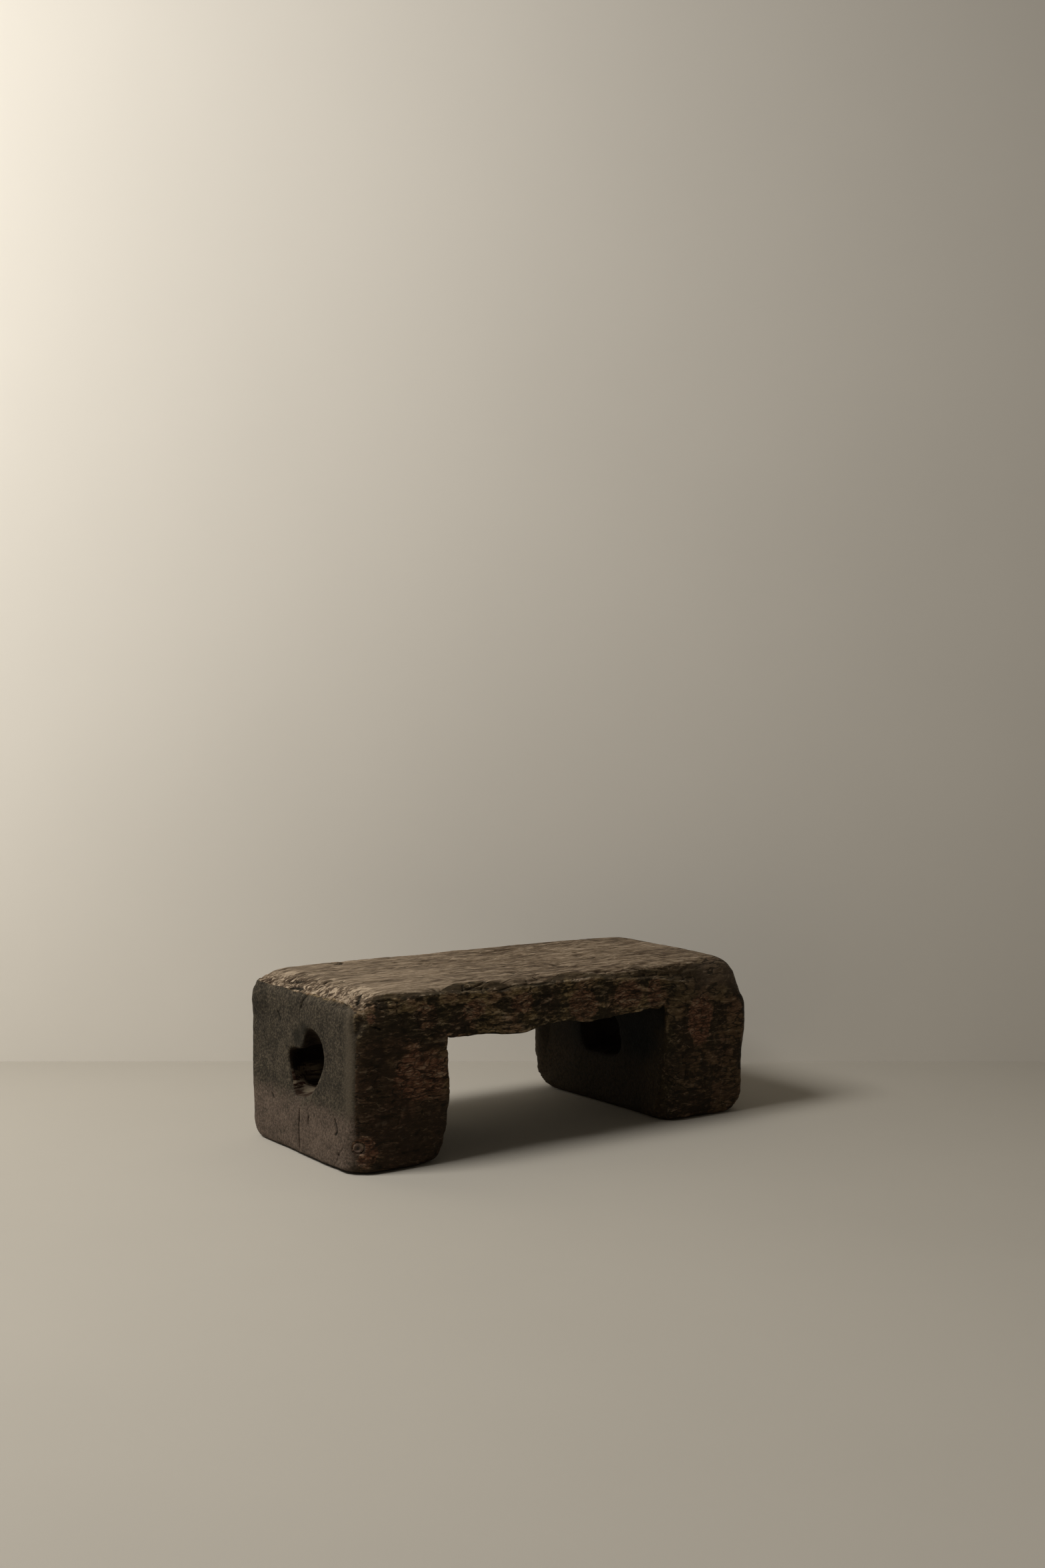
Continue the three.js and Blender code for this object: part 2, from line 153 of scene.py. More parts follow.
# Where the dark skin of the front and the back is rubbed through to reddish wood
RUBBED_SPOTS = [
    ((-204, -140, 106), (25, 14, 24)),
    ((-194, -139, 168), (16, 14, 14)),
    ((-266, -138, 174), (5, 8, 6)),
    ((-276, -140, 27), (15, 10, 14)),
    ((-62, -138, 172), (15, 14, 9)),
    ((-130, -138, 170), (13, 14, 9)),
    ((30, -138, 160), (18, 14, 14)),
    ((98, -138, 168), (16, 14, 12)),
    ((138, -138, 166), (8, 14, 16)),
    ((212, -140, 124), (18, 14, 24)),
    ((120, 140, 110), (60, 16, 40)),
    ((-170, 140, 90), (50, 16, 36)),
]
# The corner of the right foot that shows under the arch is worn round: its place, its least radius,
# what wear adds to that near the floor, and the heights between which the wear fades out
WORN_CORNER = (ARCH_RIGHT_X, -140)
LEAST_RADIUS = 3
WORN_RADIUS = 24
WORN_HEIGHTS = (45, 112)
# Corners that handling and scraping have rounded off: the passes that soften them, and the middle and
# reach of each
CORNER_PASSES = 40
ROUNDED_SPOTS = [
    ((158, -140, 3), (20, 20, 14)),
    ((-168, -140, 2), (24, 18, 20)),
    ((-290, -140, 2), (14, 14, 12)),
    ((158, 140, 2), (10, 10, 8)),
    ((290, -140, 4), (14, 14, 12)),
]
# Places that stand out a little more than the solids, or less: middle, reach and height
PROUD_SPOTS = [
    ((-288, 102, 172), (20, 24, 13), 4.5),
    ((-110, -138, 140), (60, 16, 7), 3.5),
    ((286, -128, 125), (12, 16, 30), 3.0),
    ((286, -132, 160), (12, 12, 11), -3.0),
    ((160, 138, 72), (12, 14, 44), 6.0),
    ((-168, -138, 105), (10, 12, 36), 1.2),
    ((-290, 125, 45), (12, 20, 34), -2.0),
    ((140, -139, 141), (15, 9, 6), -4.0),
]
# Along the front of the seat: the place on X, the width of the dark wane and the height of the
# ridge under it
WANE = np.array([
    (-290, 4, 190),
    (-250, 3, 192),
    (-196, 5, 192),
    (-170, 8, 192),
    (-150, 15, 192),
    (-114, 14, 189),
    (-94, 8, 188),
    (-77, 4, 189),
    (-27, 4, 191),
    (-8, 10, 192),
    (11, 15, 192),
    (54, 6, 190),
    (94, 4, 187),
    (146, 9, 182),
    (193, 11, 175),
    (226, 18, 172),
    (251, 24, 172),
    (290, 38, 172),
], float)
# How the knot points into the timber, and over what distance the marks fade out around it
KNOT_AXIS = (0.72, 0.68, 0.12)
KNOT_MARGIN = 8
# The most that fibres stand above the solids' seat
SEAT_RISE = 3

# The studio, in metres
CAMERA_PLACE = (-1.2103, -1.7608)
WINDOW_PLACE = Vector((-1.77, 0.11, 2.10))
WINDOW_SIDES = (0.9, 0.9)
WALL_LAMP_SIDES = (0.4, 1.3)
LAMP_COLOUR = (1.0, 0.985, 0.96)
ROOM_COLOUR = (1.0, 0.9, 0.76)
ROOM_SEEN = (0.42, 0.385, 0.325)
FLOOR_REACH = 8
WALL_REACH = 6


def fade(low, high, value):
    """0 before low, 1 beyond high and a smooth change between them, in either direction."""
    t = np.clip((value - low) / (high - low), 0, 1)
    return t * t * (3 - 2 * t)


HASH_FACTORS = (2654435761, 2246822519, 3266489917)
SEED_FACTOR = 374761393
LOW_BITS = 0xFFFFFFFF


def random_at(cells, seed):
    """An even random number from 0 to 1 for each whole-number cell, the same in every run."""
    mixed = np.full(len(cells), seed * SEED_FACTOR % 2**32, np.uint64)
    for axis, factor in enumerate(HASH_FACTORS):
        mixed ^= (cells[:, axis].astype(np.int64) & LOW_BITS).astype(np.uint64) * np.uint64(factor)
        mixed &= np.uint64(LOW_BITS)
        mixed ^= mixed >> np.uint64(15)
        mixed = mixed * np.uint64(HASH_FACTORS[1]) & np.uint64(LOW_BITS)
        mixed ^= mixed >> np.uint64(13)
    return mixed.astype(float) / 2**32


def noise(points, size, seed):
    """Smooth noise from -1 to 1. size is the length of a wave, one number or one for each axis."""
    scaled = points / np.broadcast_to(np.asarray(size, float), (3,)) + seed * 17.31
    cell = np.floor(scaled).astype(np.int64)
    part = scaled - cell
    part = part**3 * (part * (part * 6 - 15) + 10)
    total = np.zeros(len(points))
    for corner in itertools.product((0, 1), repeat=3):
        weight = np.prod(np.where(corner, part, 1 - part), axis=1)
        total += weight * random_at(cell + corner, seed)
    return 2 * total - 1


def layered_noise(points, size, seed, layers=3):
    """Noise with finer and weaker layers of itself on top."""
    size = np.broadcast_to(np.asarray(size, float), (3,))
    total = sum(noise(points, size / 2**i, seed + i) / 2**i for i in range(layers))
    return total / (2 - 2 ** (1 - layers))


def wander(points, size, seeds):
    """Smooth random pushes from -1 to 1, one column for each seed."""
    return np.stack([noise(points, size, seed) for seed in seeds], axis=1)


def ridges(points, size, seed):
    """Sharp lines in smooth ground: 1 along the lines and 0 far from them."""
    return (1 - np.abs(noise(points, size, seed))) ** 3


def scallops(points, pitch, seed):
    """Hollows with sharp ridges between them, as an adze leaves: 0 in a hollow's middle to 1."""
    scaled = points / np.asarray(pitch, float)
    home = np.floor(scaled).astype(np.int64)
    nearest = np.full(len(points), 9.0)
    for step in itertools.product((-1, 0, 1), repeat=3):
        cell = home + step
        middle = cell + np.stack([random_at(cell, seed + axis) for axis in range(3)], axis=1)
        nearest = np.minimum(nearest, np.linalg.norm(scaled - middle, axis=1))
    return np.clip(nearest, 0, 1) ** 2


def distance_to_path(points, path):
    """Distance of each point from a line through the places of a path."""
    best = np.full(len(points), np.inf)
    for start, end in itertools.pairwise(np.asarray(path, float)):
        along = end - start
        share = np.clip((points - start) @ along / (along @ along), 0, 1)
        best = np.minimum(best, np.linalg.norm(points - start - share[:, None] * along, axis=1))
    return best


def blob(points, middle, reach):
    """1 in the middle of a spot, falling smoothly to 0 at twice its reach."""
    away = np.linalg.norm((points - np.asarray(middle, float)) / np.asarray(reach, float), axis=1)
    return fade(2.0, 0.4, away)


def spots(points, places):
    """Share of each point in the nearest of several spots."""
    return np.max([blob(points, middle, reach) for middle, reach in places], axis=0)


def read_points(mesh):
    """Places of the vertices in millimetres."""
    places = np.empty(len(mesh.vertices) * 3)
    mesh.vertices.foreach_get("co", places)
    return places.reshape(-1, 3) / MM


def read_normals(mesh):
    """Direction in which the surface faces at each vertex."""
    directions = np.empty(len(mesh.vertices) * 3)
    mesh.vertex_normals.foreach_get("vector", directions)
    return directions.reshape(-1, 3)


def write_points(mesh, points):
    """Move the vertices to places in millimetres."""
    mesh.vertices.foreach_set("co", (points * MM).ravel())
    mesh.update()


def store(mesh, name, values):
    """Keep one number for each vertex, for the material to read."""
    attribute = mesh.attributes.new(name, "FLOAT", "POINT")
    attribute.data.foreach_set("value", np.asarray(values, np.float32))


def read_edges(mesh):
    """Numbers of the two vertices of each edge."""
    ends = np.empty(len(mesh.edges) * 2, np.int64)
    mesh.edges.foreach_get("vertices", ends)
    return ends.reshape(-1, 2)


def neighbour_mean(values, edges):
    """Mean over each vertex's neighbours, of a number or of a place."""
    count = len(values)
    columns = values.reshape(count, -1)
    both = np.concatenate([edges, edges[:, ::-1]])
    degree = np.maximum(np.bincount(both[:, 0], minlength=count), 1)
    sums = [np.bincount(both[:, 0], column[both[:, 1]], count) for column in columns.T]
    return (np.stack(sums, axis=1) / degree[:, None]).reshape(values.shape)


def above_neighbours(mesh, height, passes):
    """How far the height of each vertex is above the mean of the ground around it."""
    edges = read_edges(mesh)
    ground = height
    for _ in range(passes):
        ground = neighbour_mean(ground, edges)
    return height - ground


def even_copy(node, name, cell, passes):
    """A copy of a CAD node in small even faces, with the flats of its facets eased away."""
    piece = bpy.data.objects.new(name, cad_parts[node].data.copy())
    bpy.context.scene.collection.objects.link(piece)
    remesh = piece.modifiers.new("even faces", "REMESH")
    remesh.mode = "VOXEL"
    remesh.voxel_size = cell
    ease = piece.modifiers.new("eased facets", "SMOOTH")
    ease.factor = 0.5
    ease.iterations = passes
    made = bpy.data.meshes.new_from_object(piece.evaluated_get(bpy.context.evaluated_depsgraph_get()))
    piece.modifiers.clear()
    piece.data = made
    made.name = name
    made.materials.clear()
    return piece


def refine(mesh, wanted):
    """Halve the edges where wanted, given as one truth value for each vertex, is true."""
    work = bmesh.new()
    work.from_mesh(mesh)
    edges = [e for e in work.edges if wanted[e.verts[0].index] and wanted[e.verts[1].index]]
    bmesh.ops.subdivide_edges(work, edges=edges, cuts=1, use_grid_fill=True)
    work.to_mesh(mesh)
    work.free()


class Faces:
    """Which side of the baulk each vertex is on, as shares from 0 to 1."""

    def __init__(self, points, normals):
        x, y, z = points.T
        nx, ny, nz = normals.T
        self.seat = fade(0.3, 0.8, nz) * fade(150, 170, z)
        self.left = fade(0.45, 0.85, -nx) * fade(LEFT_X + 28, LEFT_X + 14, x)
        self.right = fade(0.45, 0.85, nx) * fade(RIGHT_X - 36, RIGHT_X - 22, x)
        self.front = fade(0.35, 0.8, -ny) * fade(FRONT_Y + 30, FRONT_Y + 18, y)
        self.back = fade(0.35, 0.8, ny) * fade(BACK_Y - 60, BACK_Y - 44, y)
        self.sole = fade(-0.6, -0.9, nz) * fade(12, 6, z)
        self.ends = np.maximum(self.left, self.right)
        self.skin = np.maximum(self.front, self.back)
        self.across = fade(0.5, 0.85, np.abs(nx))
        outer = np.max([self.seat, self.ends, self.skin, self.sole], axis=0)
        self.inside = 1 - outer


def crack_field(points, cracks):
    """How deep in a crack each point is, and how far down that takes it in millimetres."""
    wobble = wander(points, 9, (71, 72, 73))
    inside = np.zeros(len(points))
    depth = np.zeros(len(points))
    for path, half_width, deepest in cracks:
        away = distance_to_path(points + wobble, path) / half_width
        share = np.exp(-(away**2))
        inside = np.maximum(inside, share)
        depth = np.maximum(depth, share * deepest)
    return inside, depth


def soften(mesh, share, passes):
    """Draw the surface towards its neighbours' mean, more where share is nearer to 1."""
    edges = read_edges(mesh)
    points = read_points(mesh)
    for _ in range(passes):
        points += 0.5 * share[:, None] * (neighbour_mean(points, edges) - points)
    write_points(mesh, points)


def round_corner(mesh):
    """Wear one upright corner of the right foot round, most near the floor."""
    points = read_points(mesh)
    radius = LEAST_RADIUS + WORN_RADIUS * fade(WORN_HEIGHTS[1], WORN_HEIGHTS[0], points[:, 2])
    inward = radius[:, None] - (points[:, :2] - np.array(WORN_CORNER))
    near = np.all((inward > 0) & (inward < 2 * radius[:, None]), axis=1)
    reach = np.linalg.norm(inward, axis=1)
    past = np.where(near, np.maximum(reach - radius, 0), 0) / np.maximum(reach, 1)
    points[:, :2] += past[:, None] * inward
    write_points(mesh, points)


def tool_marks(points, faces, settings):
    """Offset along the normal that the hewing and the wear of the faces make."""
    hewn = (scallops(points, (40, 30, 30), 3) - 0.4) * settings.adze_depth / MM
    hewn *= faces.skin + 0.6 * faces.inside
    flakes = 0.9 * layered_noise(points, (22, 14, 12), 11) * faces.skin
    lumps = 0.8 * layered_noise(points, 34, 13) * (1 - 0.6 * faces.ends - 0.5 * faces.seat)
    sway = noise(points, (150, 60, 60), 15) * faces.seat
    grit = 0.35 * layered_noise(points, 7, 16) * faces.ends
    pits = -0.8 * fade(0.35, 0.8, noise(points, 5, 17))
    pits *= (0.5 + 0.5 * faces.skin) * (1 - faces.ends)
    proud = sum(height * blob(points, middle, reach) for middle, reach, height in PROUD_SPOTS)
    return hewn + flakes + lumps + sway + grit + pits + proud


def wane_ridge(points):
    """The sharp ridge that the wane leaves along the top of the front. Gives its share and height."""
    x, y, z = points.T
    height = np.interp(x, WANE[:, 0], WANE[:, 2]) + 1.2 * noise(points, (40, 400, 400), 67)
    along = fade(-225, -195, x) * fade(215, 180, x)
    along *= fade(FRONT_Y + 16, FRONT_Y + 8, y)
    share = np.exp(-(((z - height) / 1.9) ** 2)) * along
    return share, 1.5 * share - 1.2 * np.exp(-(((z - height - 5.5) / 3.5) ** 2)) * along


def grain_relief(points, faces, settings):
    """Grooves along the fibres on the faces that the fibres run along."""
    depth = settings.grain_depth / MM
    fibres = points.copy()
    fibres[:, 1:] += 7 * wander(points, 90, (21, 22))
    broad = ridges(fibres, (110, 14, 14), 23) - 0.3
    fine = (ridges(fibres, (50, 7, 7), 29) - 0.3) * 0.8
    cuts = fade(0.6, 0.95, ridges(fibres, (30, 20, 8), 33)) * faces.skin
    patchy = fade(-0.2, 0.3, noise(points, 40, 36))
    torn = fade(0.5, 0.95, ridges(fibres, (70, 9, 9), 35)) * patchy
    relief = (broad + fine) * (1 - 0.3 * faces.skin) + 1.5 * cuts + 2.0 * (torn - 0.1) * faces.seat
    return -depth * relief * (1 - faces.across)


def frayed_end(points):
    """Torn fibres where the left end of the seat has worn down to a slope."""
    x, _, z = points.T
    zone = fade(LEFT_X + 48, LEFT_X + 12, x) * fade(178, 188, z)
    bent = points + 5 * wander(points, 16, (43, 44, 45))
    tufts = ridges(bent, (34, 9, 24), 37) * fade(-0.3, 0.4, noise(points, 24, 46))
    return -(2.6 * tufts + 1.6 * ridges(bent, (16, 4.4, 16), 41)) * zone


def broken_edges(points):
    """Small breaks along the arch's edges in the front and the back."""
    x, y, z = points.T
    near_face = np.maximum(fade(FRONT_Y + 16, FRONT_Y + 5, y), fade(100, 116, y))
    under_slab = fade(10, 3, np.abs(z - ARCH_TOP_Z)) * fade(176, 158, np.abs(x))
    from_foot = np.minimum(np.abs(x - ARCH_LEFT_X), np.abs(x - ARCH_RIGHT_X))
    beside_foot = fade(8, 3, from_foot) * fade(146, 138, z)
    edge = near_face * np.maximum(under_slab, beside_foot)
    return 1.8 * layered_noise(points, (24, 16, 14), 53) * edge


def hand_holes(points, faces):
    """Share of a vertex on a hand hole's wall, and the painted light on it: low in the left hole, faint up
    high.
    """
    x, y, z = points.T
    in_foot = np.maximum(fade(-172, -178, x), fade(162, 168, x))
    between_sides = fade(-95, -88, y) * fade(66, 58, y)
    between_levels = fade(54, 60, z) * fade(162, 156, z)
    wall = in_foot * between_sides * between_levels * (1 - faces.ends)
    low = fade(98, 91, z + 2 * noise(points, 12, 57))
    low *= 0.7 + 0.3 * fade(LEFT_X + 6, LEFT_X + 22, x)
    low *= 1 - 0.6 * fade(80, 75, z)
    high = 0.05 * fade(116, 122, z)
    return wall, np.maximum(low, high) * fade(-225, -245, x)


def seat_share(points, normals):
    """1 on the worn sitting face and 0 on its wane, its shoulder and the other faces."""
    x, y, z = points.T
    end_edge = 188.5 - 6 * fade(-112, -140, y) + 3 * layered_noise(points, (30, 16, 30), 61)
    above_end = fade(-2.5, 2.5, z - end_edge)
    wane_width = np.interp(x, WANE[:, 0], WANE[:, 1]) + 1.6 * noise(points, (16, 400, 400), 63)
    soft = 2.5 + 7 * fade(180, 230, x)
    behind_wane = fade(-1, 1, (y - (FRONT_Y + wane_width)) / soft)
    edge_on_left = fade(-275, -255, x) * fade(-100, -160, x) * 0.2
    top = fade(0.35 + edge_on_left, 0.75 + edge_on_left, normals[:, 2]) * fade(150, 170, z)
    before_shoulder = fade(RIGHT_X - 4, RIGHT_X - 40, x)
    return top * behind_wane * np.where(x < 0, above_end, before_shoulder)


def lip_line(points):
    """The thin light lip of the slab over the arch."""
    x, y, z = points.T
    lip = fade(3.5, 1, np.abs(z - 138 - 2 * fade(90, 120, x)))
    along = fade(10, 40, x) * fade(158, 140, x)
    return 0.6 * lip * along * fade(FRONT_Y + 11, FRONT_Y + 5, y)


def paint_masks(mesh, points, normals, faces, carving):
    """Store the soft masks that the timber's finish sharpens with its own fine noise."""
    x, y, z = points.T
    seat = seat_share(points, normals)
    wall, lit_patch = hand_holes(points, faces)
    left_end = fade(0.25, 0.95, -normals[:, 0]) * fade(LEFT_X + 28, LEFT_X + 14, x)
    ridge = carving["ridge"] * (0.5 + 0.35 * noise(points, (26, 400, 400), 68))
    left_foot = fade(-196, -236, x) * fade(186, 165, z)
    right_foot = fade(150, 175, x) * fade(120, 80, z)
    worn_corner = fade(212, 172, x) * fade(140, 155, x) * fade(128, 84, z)
    dark = spots(points, DARK_SPOTS) * faces.skin
    on_right = fade(150, 172, x)
    low = (0.8 - 0.5 * on_right) * fade(90, 50, z)
    # The skin is darker towards the floor, on the feet, on the right end and in the dark spots; at the worn
    # corner the darkening is painted shade running on from under the arch
    feet = [0.75 * left_foot, 0.2 * right_foot, 0.8 * worn_corner]
    darkening = np.max([*feet, low, 0.4 * faces.right, dark], axis=0)
    calm = np.max([on_right, 0.8 * fade(96, 70, z), 0.6 * left_foot], axis=0)
    left_side = fade(-160, -180, x) * fade(150, 130, z)
    feet_sides = np.maximum(fade(-160, -185, x), fade(160, 185, x))
    corner_front = fade(-76, -138, y) * worn_corner
    wane = fade(-1, 3, z - np.interp(x, WANE[:, 0], WANE[:, 2]))
    far_in = fade(40, 90, y)
    masks = {
        "seat_wear": seat,
        "end_grain": np.maximum(left_end, faces.right) * (1 - seat) * (1 - wall),
        "frayed": fade(LEFT_X + 62, LEFT_X + 20, x) * seat,
        "wane": wane * (1 - seat) * (1 - left_end) * (1 - 0.7 * fade(185, 235, x)),
        "pale_edge": np.max([0.7 * spots(points, PALE_SPOTS), lip_line(points), ridge], axis=0),
        "rubbed": spots(points, RUBBED_SPOTS) * faces.skin,
        # The darkening of the skin, and painted shade on the end by the hand hole's rim
        "sooty": np.maximum(darkening * (1 - left_end), spots(points, RIM_SHADE_SPOTS) * left_end),
        "calm": calm,
        "clear": spots(points, CLEAR_SPOTS) * faces.skin,
        "shade": np.maximum(calm * (1 - 0.85 * on_right), 0.7 * left_side),
        "shoulder": fade(178, 228, x) * fade(150, 176, z) * (1 - seat),
        "bleached": fade(60, -170, x) * fade(LEFT_X + 8, LEFT_X + 50, x) * seat,
        "bruised": fade(-112, -134, y) * left_end,
        # Painted shade beside the right foot's hand hole, under the arch
        "smoky": spots(points, ARCH_SHADE_SPOTS) * faces.across,
        "ruddy": feet_sides * fade(160, 135, z),
        # Painted shade on the faces under the arch and in the holes, less at the worn corner and towards
        # the back
        "inside": faces.inside * (1 - seat) * (1 - 0.9 * corner_front) * (1 - 0.15 * far_in),
        "across": faces.across,
        "hole_wall": wall,
        # Painted light inside the left hand hole
        "hole_light": lit_patch,
        "crack": carving["cracks"],
        "stands_out": carving["stands_out"] * (1 - faces.ends) * (1 - faces.inside),
    }
    for name, values in masks.items():
        store(mesh, name, values)


def away_from_knot(points):
    """0 at the knot's box and 1 beyond its margin."""
    beyond = np.maximum(0, np.maximum(KNOT_LOW - points, points - KNOT_HIGH))
    return fade(0, KNOT_MARGIN, np.linalg.norm(beyond, axis=1))


def add_fine_faces(mesh, cracks):
    """Halve the faces near the cracks twice. The first pass takes the frayed end and the wane too."""
    for reach, first in ((5.6, True), (2.88, False)):
        points = read_points(mesh)
        wanted = np.min([distance_to_path(points, path) for path, _, _ in cracks], axis=0) < reach
        if first:
            x, y, z = points.T
            wanted |= ((x < LEFT_X + 45) | (y < FRONT_Y + 22)) & (z > 172)
        refine(mesh, wanted)


def hew(piece, settings):
    """Give the even copy of the timber its marks, grain, cracks and worn edges."""
    mesh = piece.data
    round_corner(mesh)
    soften(mesh, spots(read_points(mesh), ROUNDED_SPOTS), CORNER_PASSES)
    all_cracks = END_CRACKS + SEAT_CRACKS
    add_fine_faces(mesh, all_cracks)
    points = read_points(mesh)
    normals = read_normals(mesh)
    faces = Faces(points, normals)
    ridge, ridge_height = wane_ridge(points)
    quiet = fade(175, 225, points[:, 0]) * fade(146, 166, points[:, 2])
    offset = tool_marks(points, faces, settings) * (1 - 0.4 * quiet)
    offset += grain_relief(points, faces, settings) * (1 - 0.8 * quiet)
    offset += frayed_end(points)
    offset += broken_edges(points)
    offset += ridge_height
    stands_out = above_neighbours(mesh, offset, 6) * (1 - 0.7 * quiet)
    cracks, crack_depth = crack_field(points, all_cracks)
    offset -= crack_depth
    worm = fade(1.3, 0.7, np.linalg.norm(points - WORM_HOLE, axis=1) / WORM_HOLE_RADIUS)
    offset -= WORM_HOLE_DEPTH * worm
    offset *= away_from_knot(points)
    offset = (offset + settings.fullness / MM * (1 - faces.inside)) * (1 - faces.sole)
    carved = points + offset[:, None] * normals
    carved[:, 2] = np.clip(carved[:, 2], 0, SEAT_Z + SEAT_RISE)
    write_points(mesh, carved)
    mesh.shade_smooth()
    carving = {"ridge": ridge, "cracks": np.maximum(cracks, worm), "stands_out": stands_out}
    paint_masks(mesh, points, normals, faces, carving)


def dish_knot(mesh):
    """Hollow the outer face of the knot around its heart."""
    points = read_points(mesh)
    normals = read_normals(mesh)
    axis = np.array(KNOT_AXIS) / np.linalg.norm(KNOT_AXIS)
    away = points - (KNOT_LOW + KNOT_HIGH) / 2
    from_heart = np.linalg.norm(away - np.outer(away @ axis, axis), axis=1)
    outer = fade(0.5, 0.9, -(normals @ axis))
    dish = 1.6 * fade(4.5, 1.0, from_heart) + 0.3 * noise(points, 2.2, 5)
    write_points(mesh, points - (outer * dish)[:, None] * normals)
    mesh.shade_smooth()
    store(mesh, "from_heart", from_heart)


def opaque(shade):
    """A colour of three shares with full alpha, as sockets and ramps take it."""
    return (*shade, 1.0)


class Wire:
    """An output of a shader node. Python's operators on it add Math nodes."""

    def __init__(self, graph, socket):
        self.graph = graph
        self.socket = socket

    def __add__(self, other):
        return self.graph.math("ADD", self, other)

    def __radd__(self, other):
        return self.graph.math("ADD", other, self)

    def __sub__(self, other):
        return self.graph.math("SUBTRACT", self, other)

    def __rsub__(self, other):
        return self.graph.math("SUBTRACT", other, self)

    def __mul__(self, other):
        return self.graph.math("MULTIPLY", self, other)

    def __rmul__(self, other):
        return self.graph.math("MULTIPLY", other, self)

    def __abs__(self):
        return self.graph.math("ABSOLUTE", self)

    def above(self, low, high):
        """0 below low, 1 above high and a smooth change between them, in either direction."""
        settings = {"interpolation_type": "SMOOTHSTEP"}
        inputs = {"Value": self, "From Min": low, "From Max": high, "To Min": 0.0, "To Max": 1.0}
        if low > high:
            inputs.update({"From Min": high, "From Max": low, "To Min": 1.0, "To Max": 0.0})
        return self.graph.node("ShaderNodeMapRange", settings, inputs)


class Graph:
    """The nodes of a new material or world, and the one method that makes them."""

    def __init__(self, owner):
        self.owner = owner
        owner.use_nodes = True
        self.tree = owner.node_tree
        self.tree.nodes.clear()

    def node(self, kind, settings=None, inputs=None, output=0):
        """Make a node with its settings and its sockets, and give one of its outputs."""
        made = self.tree.nodes.new(kind)
        for name, value in (settings or {}).items():
            if name == "stops":
                self.set_stops(made.color_ramp, value)
            else:
                setattr(made, name, value)
        for name, value in (inputs or {}).items():
            if isinstance(value, Wire):
                self.tree.links.new(value.socket, made.inputs[name])
            else:
                socket = made.inputs[name]
                socket.default_value = opaque(value) if socket.type == "RGBA" else value
        return Wire(self, made.outputs[output]) if made.outputs else None

    @staticmethod
    def set_stops(ramp, stops):
        while len(ramp.elements) > 1:
            ramp.elements.remove(ramp.elements[0])
        ramp.elements[0].position = stops[0][0]
        ramp.elements[0].color = opaque(stops[0][1])
        for place, shade in stops[1:]:
            ramp.elements.new(place).color = opaque(shade)

    def math(self, operation, *values):
        return self.node("ShaderNodeMath", {"operation": operation}, dict(enumerate(values)))

    def vector(self, operation, first, second):
        return self.node("ShaderNodeVectorMath", {"operation": operation}, {0: first, 1: second})

    def stretched(self, vector, factors):
        return self.vector("MULTIPLY", vector, factors)

    def noise(self, vector, scale, detail, roughness, output="Fac"):
        inputs = {"Vector": vector, "Scale": scale, "Detail": detail, "Roughness": roughness}
        return self.node("ShaderNodeTexNoise", None, inputs, output)

    def waves(self, vector, factors, detail, roughness, output="Fac"):
        """Noise that is drawn out by one factor for each axis, in waves to the metre."""
        return self.noise(self.stretched(vector, factors), 1.0, detail, roughness, output)

    def ramp(self, value, *stops):
        return self.node("ShaderNodeValToRGB", {"stops": stops}, {"Fac": value})

    def lines(self, vector, factors, width):
        """1 on the thin lines where such a noise crosses its mean."""
        return abs(self.waves(vector, factors, 2.0, 0.5) - 0.5).above(width, width * 0.3)

    def attribute(self, name):
        return self.node("ShaderNodeAttribute", {"attribute_name": name}, None, "Fac")

    def blend(self, share, first, second, way="MIX"):
        settings = {"data_type": "RGBA", "blend_type": way}
        return self.node("ShaderNodeMix", settings, {0: share, 6: first, 7: second}, 2)

    def bump(self, height, distance, strength):
        inputs = {"Height": height, "Distance": distance, "Strength": strength}
        return self.node("ShaderNodeBump", None, inputs)

    def surface(self, inputs):
        shader = self.node("ShaderNodeBsdfPrincipled", None, inputs)
        self.node("ShaderNodeOutputMaterial", None, {"Surface": shader})
        return self.owner


def new_graph(name):
    """The empty graph of a new material."""
    return Graph(bpy.data.materials.new(name))


def seat_look(g, place, flow, tones):
    """Worn sitting face: light fibres, brown streaks and fine splits. Gives colour and height."""
    streaks = g.waves(flow, (17, 140, 140), 6.0, 0.74)
    hairs = g.waves(flow, (80, 330, 330), 3.0, 0.65)
    clouds = g.waves(place, (6, 14, 14), 3.0, 0.55)
    splits = g.lines(flow, (9, 85, 85), 0.035) * clouds.above(0.60, 0.44)
    nicks = g.waves(flow, (45, 210, 210), 2.0, 0.6).above(0.36, 0.28)
    frayed = g.attribute("frayed")
    tone = streaks * 0.55 + hairs * 0.45 + clouds * 0.1 + frayed * ((hairs + streaks - 1.02) * 0.7)
    colour = g.ramp(
        tone,
        (0.46, tones.seat_dark),
        (0.53, tones.seat_brown),
        (0.59, tones.seat_wood),
        (0.70, tones.pale_wood),
    )
    gaps = g.math("MAXIMUM", splits, nicks)
    colour = g.blend(g.attribute("bleached") * 0.25, colour, tones.seat_light)
    # The splits and nicks are dark with dirt and painted shade
    colour = g.blend(gaps * 0.75, colour, tones.seat_dark)
    return colour, streaks + hairs * 0.6 - gaps * 0.5


def end_look(g, place, height, tones):
    """Grey end grain, full of small dark pores. Gives colour and height."""
    pores = g.noise(place, 330.0, 3.0, 0.7)
    mottle = g.noise(place, 70.0, 4.0, 0.65)
    cloud = g.noise(place, 17.0, 3.0, 0.6)
    tone = pores * 0.6 + mottle * 0.25 + cloud * 0.15
    grey = g.ramp(tone, (0.37, tones.end_dark), (0.49, tones.end_grain), (0.60, tones.end_pale))
    grey = g.blend(g.attribute("bruised") * 0.75, grey, tones.end_pale)
    red = g.ramp(tone, (0.37, tones.end_grain), (0.49, tones.end_low), (0.60, tones.end_rose))
    low = (height + (mottle - 0.5) * 0.05).above(0.076, 0.054)
    return g.blend(low, grey, red), pores


